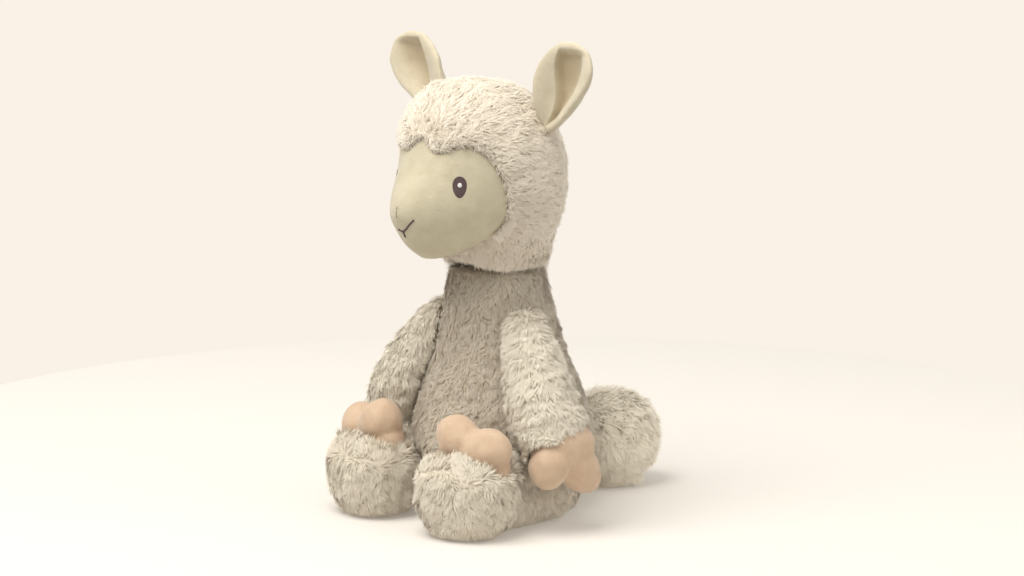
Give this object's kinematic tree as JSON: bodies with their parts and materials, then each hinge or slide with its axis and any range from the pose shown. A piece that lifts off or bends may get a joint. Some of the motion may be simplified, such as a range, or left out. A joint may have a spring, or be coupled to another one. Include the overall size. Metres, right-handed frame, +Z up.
{
  "type": "plush llama",
  "caption": "Seated plush llama with a long neck, fur hood, smooth velour face, cupped ears, floppy limbs with two-toed hooves and a ball tail.",
  "frame": {"origin": "middle of the flat seat that the llama sits on, on the floor", "axes": "+Z up, -Y the way the llama looks, +X its left side"},
  "size_m": [0.2152, 0.2513, 0.3247],
  "materials": {
    "body_fur": "short dense beige pile",
    "hood_fur": "long brushed cream pile",
    "limb_fur": "long fluffy cream pile",
    "velour": "smooth cream velour",
    "hoof_velour": "smooth peach velour",
    "dark_thread": "satin stitch",
    "white_thread": "satin stitch",
    "nose_thread": "drawn seam"
  },
  "bodies": {
    "root": {"body": "body_fur", "head": "hood_fur", "face": "velour", "left_ear": "velour", "right_ear": "velour", "left_eye": "dark_thread", "right_eye": "dark_thread", "left_eye_highlight": "white_thread", "right_eye_highlight": "white_thread", "mouth": "dark_thread", "nose_stitch": "nose_thread", "left_arm": "limb_fur", "right_arm": "limb_fur", "left_arm_hoof": "hoof_velour", "right_arm_hoof": "hoof_velour", "left_leg": "limb_fur", "right_leg": "limb_fur", "left_leg_hoof": "hoof_velour", "right_leg_hoof": "hoof_velour", "tail": "limb_fur"}
  },
  "joints": []
}
